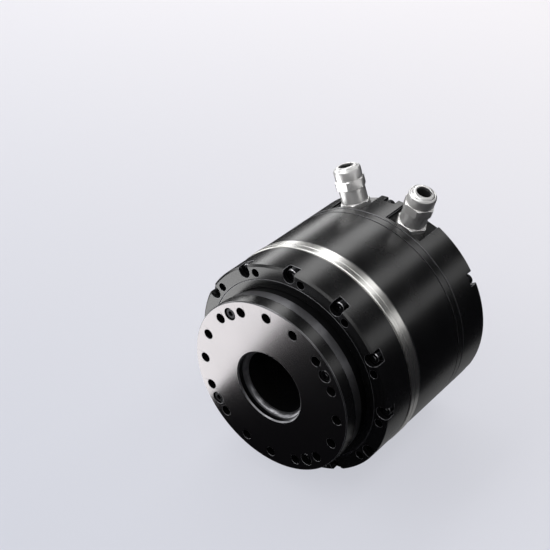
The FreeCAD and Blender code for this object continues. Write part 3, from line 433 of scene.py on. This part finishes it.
# Turned bearing steel: bright, with the tool's lines round it; drawn at 0.2 mm, coarser than the
# real feed of 0.08 mm, so that they show as fine light and dark threads.
band_steel = new_material("turned_bearing_steel")
threads = turning_marks(band_steel, 0.2)
give_skin(band_steel, {
    "Base Color": two_tone(band_steel, threads, "#acaba8", "#f2f1ee"),
    "Roughness": stretch(band_steel, threads, 0.38, 0.17, start=0.35, end=0.65),
    "Normal": bump(band_steel, threads, 0.3, 0.04)}, {"Metallic": 1.0})

# Ground steel, for races, rollers and balls: near a mirror, with a faint haze left by the stone.
ground_steel = new_material("ground_bearing_steel")
haze = noise(ground_steel, 300.0, 5.0)
give_skin(ground_steel, {
    "Base Color": two_tone(ground_steel, haze, "#b8babd", "#cfd0d2"),
    "Roughness": stretch(ground_steel, haze, 0.12, 0.24)}, {"Metallic": 1.0})

# Glass-filled nylon, for the roller cage: cream, matt and faintly mottled by the fibres.
nylon = new_material("glass_filled_nylon")
fibres = two_tone(nylon, noise(nylon, 900.0, 3.0), "#d3c69d", "#e2d8b6")
give_skin(nylon, {"Base Color": fibres}, {"Roughness": 0.52})

outer_race = turned("crossed_roller_outer_ring", [
    (42.5, 21.6), (47.87, 21.6), (47.87, 35.4), (54.5, 35.4), (54.5, 35.65), (54.95, 35.7), (55.3, 36.0),
    (55.3, 38.55), (55.05, 38.8), (42.5, 38.8), (42.5, 32.043), (46.143, 28.4), (42.5, 24.757)],
    [band_steel], steps=240)
clearance = bmesh.new()
for angle in front_screw_angles:
    add_rod(clearance, screw_hole_radius, 35.3, 38.9, screw_circle, angle, segments=24)
work_on(outer_race, clearance)
shade_smooth(outer_race.data)
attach(outer_race, "housing")
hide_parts("main_bearing_outer_ring")
finish_with(ground_steel, "main_bearing_inner_ring", "crossed_rollers")
finish_with(nylon, "roller_cage")

# Output hub: turned steel, painted near-black but for its rim as painted shade in the gap behind the rim;
# the rim keeps a satin grey. It carries the bearing's inner ring, and the rim stands out behind the flange.
# Hub steel with painted shade: a dark, half-matt metal with a cloudy patina over the lathe's lines.
hub_steel_with_painted_shade = new_material("hub_steel_painted_dark_for_shade")
patina_over_painted_shade = two_tone(hub_steel_with_painted_shade, noise(hub_steel_with_painted_shade, 90.0, 5.0), "#1a1a1b", "#2a2a2c")
hub_lines = bump(hub_steel_with_painted_shade, turning_marks(hub_steel_with_painted_shade, 0.3), 0.2, 0.04)
give_skin(hub_steel_with_painted_shade, {"Base Color": patina_over_painted_shade, "Normal": hub_lines}, {"Metallic": 1.0, "Roughness": 0.5})

# Ground rim: a plunge-ground band of grey steel, matt enough to spread the lamps.
ground_rim = new_material("plunge_ground_steel_rim")
rim_cloud = two_tone(ground_rim, noise(ground_rim, 180.0, 4.0), "#6b6b6e", "#79797c")
give_skin(ground_rim, {"Base Color": rim_cloud}, {"Metallic": 1.0, "Roughness": 0.42})

hub = turned("output_hub_body", [
    (18.5, 6.8), (44.2, 6.8), (44.2, 11.8), (43.2, 11.8), (43.2, 21.3), (41.3, 21.3), (41.3, 22.2),
    (33.97, 22.2), (33.97, 34.6), (18.5, 34.6)], [hub_steel_with_painted_shade, ground_rim])
# Only the rim gets the grey steel; the rest of the hub keeps the dark painted shade.
for polygon in hub.data.polygons:
    if polygon.center.y < face + 11.0 * mm and polygon.center.xz.length > 43.9 * mm:
        polygon.material_index = 1
flange_circle = 38.9
flange_hole_radius = 2.5
flange_hole_angles = [22.5 * index for index in range(16)]
flange_screw_angles = [33.75 + 90 * index for index in range(4)]
tapped_hole_radius = 1.55
hub_holes = bmesh.new()
for angle in flange_hole_angles:
    add_rod(hub_holes, flange_hole_radius, 6.7, 12.0, flange_circle, angle, segments=32)
for angle in flange_screw_angles:
    add_rod(hub_holes, tapped_hole_radius, 6.7, 14.8, flange_circle, angle, segments=24)
for angle in range(0, 360, 30):
    add_rod(hub_holes, tapped_hole_radius, 27.1, 34.7, 25.0, angle, segments=24)
break_edges(work_on(hub, hub_holes), 0.15)
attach(hub, "output")
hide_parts("output_hub")

# Output flange: the black plate that the arm bolts to. Its face is fine-turned before anodising, so
# it is smoother and brighter than the housing and keeps faint rings round its bore.
# Fine-turned face: a dark mirror, a little blurred, that takes the panel lamp's light whole.
flange_face = new_material("fine_turned_anodised_face")
sheen = two_tone(flange_face, noise(flange_face, 40.0, 3.0), "#727071", "#7c797b")
rings = bump(flange_face, turning_marks(flange_face, 0.45), 0.02, 0.03)
give_skin(flange_face, {"Base Color": sheen, "Normal": rings}, {"Metallic": 1.0, "Roughness": 0.2})

flange = turned("output_flange_plate", [
    (18.9, 0.0), (44.3, 0.0), (44.7, 0.4), (44.7, 6.8), (18.3, 6.8), (18.3, 0.6)],
    [anodised, edge_anodising, flange_face])
flange_holes = bmesh.new()
for angle in flange_hole_angles:
    add_rod(flange_holes, flange_hole_radius, 0.0, 6.9, flange_circle, angle)
for angle in flange_screw_angles:
    add_rod(flange_holes, head_room_radius, -0.1, 3.6, flange_circle, angle)
    add_rod(flange_holes, screw_hole_radius, 3.5, 6.9, flange_circle, angle, segments=24)
work_on(flange, flange_holes)
for polygon in flange.data.polygons:
    if polygon.normal.y < -0.999 and polygon.center.y < face + 0.1 * mm:
        polygon.material_index = 2
    elif polygon.normal.y < -0.5 and polygon.center.xz.length < 19 * mm:
        polygon.material_index = 1
break_edges(flange, 0.16)
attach(flange, "output")
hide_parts("output_flange")


# Flange screws: four M3 socket-head cap screws, black-oxided, sunk in counterbores between the
# sixteen holes. They hold the flange to the hub.
def cap_screws(name, seat, length, circle_radius, angles, way):
    """M3 cap screws with their heads on the seat depth; way is 1 where the shanks point to the rear."""
    head_height, head_radius, head_chamfer = 3.0, 2.75, 0.3
    socket_radius, shank_radius, tip_chamfer = 1.25, 1.5, 0.4
    flat_radius = head_radius - head_chamfer
    bm = bmesh.new()
    top = Matrix.Translation((0, 0, -head_height * mm))
    rim = bmesh.ops.create_circle(bm, segments=48, radius=flat_radius * mm, matrix=top)["verts"]
    socket = bmesh.ops.create_circle(bm, segments=48, radius=socket_radius * mm, matrix=top)["verts"]
    for corner in socket:
        off_flat = math.atan2(corner.co.y, corner.co.x) % math.radians(60) - math.radians(30)
        corner.co.xy /= math.cos(off_flat)
    rim_edges = list({e for v in rim for e in v.link_edges})
    socket_edges = list({e for v in socket for e in v.link_edges})
    bmesh.ops.bridge_loops(bm, edges=rim_edges + socket_edges)
    # Each step draws the loop on, by a growth of its radius and a travel in mm.
    socket_steps = ((1.0, 1.6), (0.15, 0.5))
    outer_steps = ((head_radius / flat_radius, head_chamfer), (1.0, head_height - head_chamfer),
                   (shank_radius / head_radius, 0.0), (1.0, length - tip_chamfer), (0.7, tip_chamfer))
    for edges, steps in ((socket_edges, socket_steps), (rim_edges, outer_steps)):
        for growth, travel in steps:
            grown = bmesh.ops.extrude_edge_only(bm, edges=edges)["geom"]
            points = [v for v in grown if isinstance(v, bmesh.types.BMVert)]
            edges = [e for e in grown if isinstance(e, bmesh.types.BMEdge)]
            bmesh.ops.scale(bm, vec=(growth, growth, 1.0), verts=points)
            bmesh.ops.translate(bm, vec=(0, 0, travel * mm), verts=points)
        bmesh.ops.contextual_create(bm, geom=edges)
    screw = bm.verts[:] + bm.edges[:] + bm.faces[:]
    copies = [bmesh.ops.duplicate(bm, geom=screw)["geom"] for _ in angles[1:]] + [screw]
    for angle, copy in zip(angles, copies):
        spot = about_axis(angle, circle_radius, seat) @ Matrix.Rotation(-way * math.pi / 2, 4, "X")
        bmesh.ops.transform(bm, matrix=spot, verts=[v for v in copy if isinstance(v, bmesh.types.BMVert)])
    for part in bm.faces:
        part.normal_update()
        if 0.2 < abs(part.normal.y) < 0.95:
            part.material_index = 1
    return piece_from(bm, name, [black_oxide, worn_oxide])


# Black oxide on screw steel: thin and oily, so it is grey-black with a soft shine, and worn bright
# in small patches.
black_oxide = new_material("black_oxided_screw_steel")
oil = noise(black_oxide, 800.0, 4.0)
give_skin(black_oxide, {
    "Base Color": two_tone(black_oxide, oil, "#111113", "#252528"),
    "Roughness": stretch(black_oxide, oil, 0.24, 0.42)}, {"Metallic": 1.0})

# Where a key or a washer has rubbed, on the chamfers, the oxide is worn through to bright steel.
worn_oxide = new_material("oxide_worn_to_steel")
scuffs = two_tone(worn_oxide, noise(worn_oxide, 1500.0, 3.0), "#7a7a7d", "#bebec1")
give_skin(worn_oxide, {"Base Color": scuffs}, {"Metallic": 1.0, "Roughness": 0.3})

flange_screws = cap_screws("flange_cap_screws", 3.6, 10.9, flange_circle, flange_screw_angles, 1)
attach(flange_screws, "output")
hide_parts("flange_screws")

# Strain-wave gear: a thin steel cup, the flexspline, is bent oval by a ball bearing on an oval plug
# and walks round inside the toothed ring. The ring's flange is the rear half of the bright band.
# Honed gear steel: a satin grey that is smoother than turned steel and duller than ground steel.
satin_steel = new_material("honed_gear_steel")
satin = two_tone(satin_steel, noise(satin_steel, 220.0, 4.0), "#96979b", "#b0b1b4")
honing = bump(satin_steel, turning_marks(satin_steel, 0.4), 0.2, 0.04)
give_skin(satin_steel, {"Base Color": satin, "Normal": honing}, {"Metallic": 1.0, "Roughness": 0.34})

finish_with(satin_steel, "flexspline", "inner_ring_clamp", "wave_generator_plug", "wave_generator_clip")
finish_with(ground_steel, "wave_bearing_outer_ring", "wave_bearing_inner_ring", "wave_bearing_balls")
finish_with(black_oxide, "flexspline_screws")
finish_with(band_steel, "circular_spline")

# Motor housing: the long black barrel behind the band, turned and anodised like the front one. Its
# front wall holds a shaft bearing, and the stator is bonded in its bore.
motor_housing = turned("motor_housing_barrel", [
    (46.03, 42.8), (54.4, 42.8), (54.4, 43.1), (55.0, 43.15), (55.0, 76.2), (54.4, 76.25), (54.4, 76.5),
    (49.5, 76.5), (49.5, 56.0), (30.0, 56.0), (30.0, 59.4), (26.03, 59.4), (26.03, 53.4), (24.0, 53.4),
    (24.0, 52.6), (46.03, 52.6)],
    [anodised, edge_anodising])
rear_screw_angles = range(30, 390, 60)
threaded = bmesh.new()
for angle in front_screw_angles:
    add_rod(threaded, tapped_hole_radius, 42.7, 49.3, screw_circle, angle, segments=24)
for angle in rear_screw_angles:
    add_rod(threaded, tapped_hole_radius, 70.0, 76.6, screw_circle, angle, segments=24)
break_edges(work_on(motor_housing, threaded), 0.1)
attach(motor_housing, "housing")
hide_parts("motor_housing")

# Housing screws: twelve M3 cap screws that reach from the notches, through the bearing ring and the
# toothed ring, into the motor housing.
housing_screws = cap_screws("housing_cap_screws", 21.9, 27.1, screw_circle, front_screw_angles, 1)
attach(housing_screws, "housing")
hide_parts("front_housing_screws")

# Motor: a frameless motor. Its stator is a stack of thin silicon-steel sheets with a coil of
# enamelled copper on each tooth, and nickel-plated magnets are bonded round a steel rotor.
# Stacked sheets: dull blue-grey metal with an even dark line at every 0.5 mm.
laminations = new_material("stacked_silicon_steel_sheets")
sheet_pitch = 0.5
sheets = node(laminations, "ShaderNodeTexWave", {"Vector": own_place(laminations)},
              {"Scale": 2.0 / (sheet_pitch * mm) / 20.0, "Distortion": 0.0},
              bands_direction="Y", wave_profile="SAW").outputs["Fac"]
give_skin(laminations, {
    "Base Color": two_tone(laminations, sheets, "#55575c", "#8a8c92"),
    "Normal": bump(laminations, sheets, 0.4, 0.05)}, {"Metallic": 1.0, "Roughness": 0.45})

# Enamelled copper wire, wound in layers of 0.7 mm: amber varnish over red-brown metal.
copper = new_material("enamelled_copper_wire")
strands = noise(copper, 1400.0, 1.0)
give_skin(copper, {
    "Base Color": two_tone(copper, strands, "#8a4a22", "#c9794a"), "Normal": bump(copper, strands, 0.5, 0.2)},
    {"Metallic": 0.9, "Roughness": 0.36, "Coat Weight": 0.5, "Coat Roughness": 0.2})

# Bright nickel on the magnets: a barrel-plated skin with soft mottling.
magnet_nickel = new_material("barrel_plated_nickel")
mottle = two_tone(magnet_nickel, noise(magnet_nickel, 260.0, 3.0), "#b3b1ac", "#cac8c3")
give_skin(magnet_nickel, {"Base Color": mottle}, {"Metallic": 1.0, "Roughness": 0.28})

finish_with(laminations, "stator_core")
finish_with(copper, "stator_coils", "brake_coil")
finish_with(magnet_nickel, "rotor_magnets")
finish_with(satin_steel, "rotor_core", "motor_shaft")
finish_with(ground_steel, "front_bearing_outer_ring", "front_bearing_inner_ring", "front_bearing_balls",
            "rear_bearing_outer_ring", "rear_bearing_inner_ring", "rear_bearing_balls")

# Rear bearing plate: a turned disc of anodised aluminium between barrel and cover. Its edge shows as
# the narrow ring between the two fine seams, and the second shaft bearing sits in its hub.
bearing_plate = turned("rear_bearing_plate_disc", [
    (26.03, 75.4), (30.0, 75.4), (30.0, 76.5), (45.47, 76.5), (45.47, 74.5), (49.47, 74.5), (49.47, 76.5),
    (54.4, 76.5), (54.4, 76.75), (55.0, 76.8), (55.0, 80.5), (54.4, 80.55), (54.4, 80.8), (30.0, 80.8),
    (30.0, 82.2), (24.0, 82.2), (24.0, 81.4), (26.03, 81.4)], [anodised, edge_anodising])
plate_holes = bmesh.new()
for angle in rear_screw_angles:
    add_rod(plate_holes, screw_hole_radius, 76.4, 80.9, screw_circle, angle, segments=24)
break_edges(work_on(bearing_plate, plate_holes), 0.1)
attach(bearing_plate, "housing")
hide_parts("rear_bearing_plate")

# Brake: springs press the armature and a lined disc on the end plate, and the coil in the magnet
# body draws it off. The steel is zinc-phosphated, a soft crystalline grey.
phosphate = new_material("zinc_phosphated_steel")
crystals = node(phosphate, "ShaderNodeTexVoronoi", {"Vector": own_place(phosphate)},
                {"Scale": 1800.0}).outputs["Distance"]
give_skin(phosphate, {
    "Base Color": two_tone(phosphate, crystals, "#5b5d5f", "#7c7e80"),
    "Normal": bump(phosphate, crystals, 0.2, 0.05)}, {"Metallic": 0.7, "Roughness": 0.55})
finish_with(phosphate, "brake_magnet_body", "brake_armature", "brake_disc", "brake_end_plate", "brake_posts")

# Encoders and drive board: reading heads on the two sides of a fibreglass board read metal discs,
# one pressed on the motor's shaft and one on the cable tube; the board stands on nickelled posts.
# Etched steel discs: pale metal with dark graduations every 3 degrees.
encoder_steel = new_material("etched_encoder_disc")
graduations = 120.0
encoder_spot = node(encoder_steel, "ShaderNodeSeparateXYZ", {"Vector": own_place(encoder_steel)})
bearing_angle = maths(encoder_steel, "ARCTAN2", encoder_spot.outputs["Z"], encoder_spot.outputs["X"])
wave_of_lines = maths(encoder_steel, "SINE", maths(encoder_steel, "MULTIPLY", bearing_angle, graduations))
dark_line = maths(encoder_steel, "GREATER_THAN", wave_of_lines, 0.2)
give_skin(encoder_steel, {"Base Color": two_tone(encoder_steel, dark_line, "#c2c4c6", "#5d5f63")},
          {"Metallic": 1.0, "Roughness": 0.25})

# Green solder mask over copper: glossy, with the tracks standing up under it.
solder_mask = new_material("solder_masked_board")
cells = node(solder_mask, "ShaderNodeTexVoronoi", {"Vector": own_place(solder_mask)}, {"Scale": 420.0},
             distance="MANHATTAN", feature="DISTANCE_TO_EDGE")
tracks = maths(solder_mask, "LESS_THAN", cells.outputs["Distance"], 0.09)
give_skin(solder_mask, {
    "Base Color": two_tone(solder_mask, tracks, "#0e4a2a", "#1d6a3c"),
    "Normal": bump(solder_mask, tracks, 0.2, 0.04)}, {"Roughness": 0.3})

# Moulded epoxy: a dull charcoal with the grain of its filler.
chip_resin = new_material("moulded_epoxy_package")
filler = two_tone(chip_resin, noise(chip_resin, 2200.0, 3.0), "#141416", "#26262a")
give_skin(chip_resin, {"Base Color": filler}, {"Roughness": 0.55})

finish_with(encoder_steel, "motor_encoder_disc", "output_encoder_disc")
finish_with(solder_mask, "drive_board")
finish_with(chip_resin, "encoder_readheads", "power_transistors")
finish_with(magnet_nickel, "board_posts")

# Rear cover: an anodised cap over the brake and the board. Two pockets are milled in its top for the
# cable glands, and six notches in its rear edge take the cover screws.
cover = turned("rear_cover_cap", [
    (45.5, 80.8), (54.4, 80.8), (54.4, 81.05), (55.0, 81.1), (55.0, 99.8), (54.2, 100.6), (21.5, 100.6),
    (21.5, 98.6), (17.9, 98.6), (17.9, 97.6), (45.5, 97.6)], [anodised, edge_anodising])
gland_angles = {"right": 72, "left": 108}
gland_depth = 91.3
gland_bore_radius = 6.05
milling = bmesh.new()
for angle in rear_screw_angles:
    add_notch(milling, 95.6, 100.7, angle)
    add_rod(milling, screw_hole_radius, 80.7, 95.7, screw_circle, angle, segments=24)
for angle in gland_angles.values():
    add_block(milling, 52.5, 56.5, 20.7, 83.1, 100.7, angle)
    bore = about_axis(angle, 49.0, gland_depth) @ Matrix.Rotation(math.pi / 2, 4, "Y")
    bmesh.ops.create_cone(milling, cap_ends=True, segments=64, radius1=gland_bore_radius * mm,
                          radius2=gland_bore_radius * mm, depth=12.0 * mm, matrix=bore)
break_edges(work_on(cover, milling))
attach(cover, "housing")
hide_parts("rear_cover")
cover_screws = cap_screws("cover_cap_screws", 95.6, 25.3, screw_circle, rear_screw_angles, -1)
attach(cover_screws, "housing")
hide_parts("rear_cover_screws")

# Hollow tube: a thin anodised tube that cables run through. Its collar is glued in the flange, so it
# turns with the output, and a small rubber seal rides on its rear end.
tube = turned("hollow_cable_tube", [
    (16.3, 5.4), (16.5, 4.6), (17.0, 3.7), (17.6, 3.2), (18.1, 3.0), (18.27, 3.0), (18.27, 6.0), (17.3, 6.0),
    (17.3, 100.3), (16.3, 100.3)], [anodised, edge_anodising], steps=128)
for polygon in tube.data.polygons:
    if polygon.normal.y < -0.05 and polygon.center.y < face + 6 * mm:
        polygon.material_index = 1
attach(tube, "output")
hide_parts("hollow_tube")
tube_seal = turned("rear_tube_lip_seal", [
    (17.6, 98.6), (21.47, 98.6), (21.47, 100.3), (19.6, 100.3), (19.2, 99.8), (18.2, 99.8), (17.6, 100.3)],
    [rubber], steps=128)
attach(tube_seal, "housing")
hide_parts("rear_tube_seal")


# Cable glands: nickel-plated brass. The body is screwed into the cover, and turning the domed nut
# squeezes a rubber insert round a cable; both stand empty.
def gland_frame(angle):
    """The matrix that stands a shape, drawn up the Z axis from the actuator's axis, at a gland's place."""
    out = outward(angle)
    return standing_at((0.0, face + gland_depth * mm, 0.0), along, out.cross(along), out)


def gland_shape(profile):
    """A bmesh spun about the Z axis from (radius, height) points in mm."""
    bm = spun([(radius * mm, 0.0, height * mm) for radius, height in profile], (0, 0, 1), 96)
    bmesh.ops.remove_doubles(bm, verts=bm.verts, dist=1e-7)
    bmesh.ops.recalc_face_normals(bm, faces=bm.faces)
    return bm


def spanner_hexagon(bottom, top, angle):
    """A gland's hexagon, in place: 14 mm across its flats, with its corners turned down at both ends."""
    corner_radius = 14 / math.sqrt(3) * mm
    bar = bmesh.new()
    middle = Matrix.Translation((0, 0, (bottom + top) / 2 * mm))
    bmesh.ops.create_cone(bar, cap_ends=True, segments=6, radius1=corner_radius, radius2=corner_radius,
                          depth=(top - bottom) * mm, matrix=middle)
    shape = piece_from(bar, "hexagon", [])
    work_on(shape, gland_shape([
        (0.5, bottom - 0.1), (7.2, bottom - 0.1), (7.75, bottom + 0.3), (7.75, top - 0.3), (7.2, top + 0.1),
        (0.5, top + 0.1)]), "INTERSECT")
    finished = bmesh.new()
    finished.from_mesh(shape.data)
    bpy.data.objects.remove(shape)
    bmesh.ops.transform(finished, matrix=gland_frame(angle), verts=finished.verts)
    return finished


def gland_piece(name, profile, angle, material):
    """A turned piece of a gland, in place."""
    bm = gland_shape(profile)
    bmesh.ops.transform(bm, matrix=gland_frame(angle), verts=bm.verts)
    return piece_from(bm, name, [material])


# Satin nickel over brass: pale and a little warm, and the tool marks under the plating blur the lamps.
gland_nickel = new_material("nickel_plated_brass")
gland_haze = noise(gland_nickel, 350.0, 4.0)
give_skin(gland_nickel, {
    "Base Color": two_tone(gland_nickel, gland_haze, "#e4e3e2", "#f0efee"),
    "Roughness": stretch(gland_nickel, gland_haze, 0.34, 0.42),
    "Normal": bump(gland_nickel, gland_haze, 0.1, 0.05)}, {"Metallic": 0.93})

for side, angle in gland_angles.items():
    body = gland_piece(side + "_gland_stem", [
        (4.6, 46.7), (6.0, 46.7), (6.0, 52.5), (6.7, 52.5), (6.7, 61.9), (6.4, 62.2), (5.3, 62.2),
        (5.3, 70.3), (4.6, 70.3)], angle, gland_nickel)
    nut = gland_piece(side + "_gland_dome_nut", [
        (5.35, 62.2), (6.9, 62.2), (6.9, 71.2), (6.78, 71.8), (6.45, 72.3), (6.0, 72.6), (5.75, 72.45),
        (5.55, 72.6), (5.35, 73.05), (4.95, 73.38), (4.5, 73.5), (3.85, 73.5), (3.7, 73.35), (3.7, 72.9),
        (4.0, 72.6), (5.35, 70.6)], angle, gland_nickel)
    insert = gland_piece(side + "_gland_rubber_insert", [
        (3.3, 54.7), (4.57, 54.7), (4.57, 70.27), (3.75, 72.4), (3.5, 72.6), (3.3, 72.4)], angle, rubber)
    work_on(body, spanner_hexagon(52.5, 54.7, angle), "UNION")
    work_on(nut, spanner_hexagon(62.2, 66.8, angle), "UNION")
    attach(insert, "housing")
    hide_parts(side + "_gland_insert")
    for metal, stands_for in ((body, side + "_gland_body"), (nut, side + "_gland_nut")):
        shade_smooth(metal.data)
        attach(metal, "housing")
        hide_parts(stands_for)
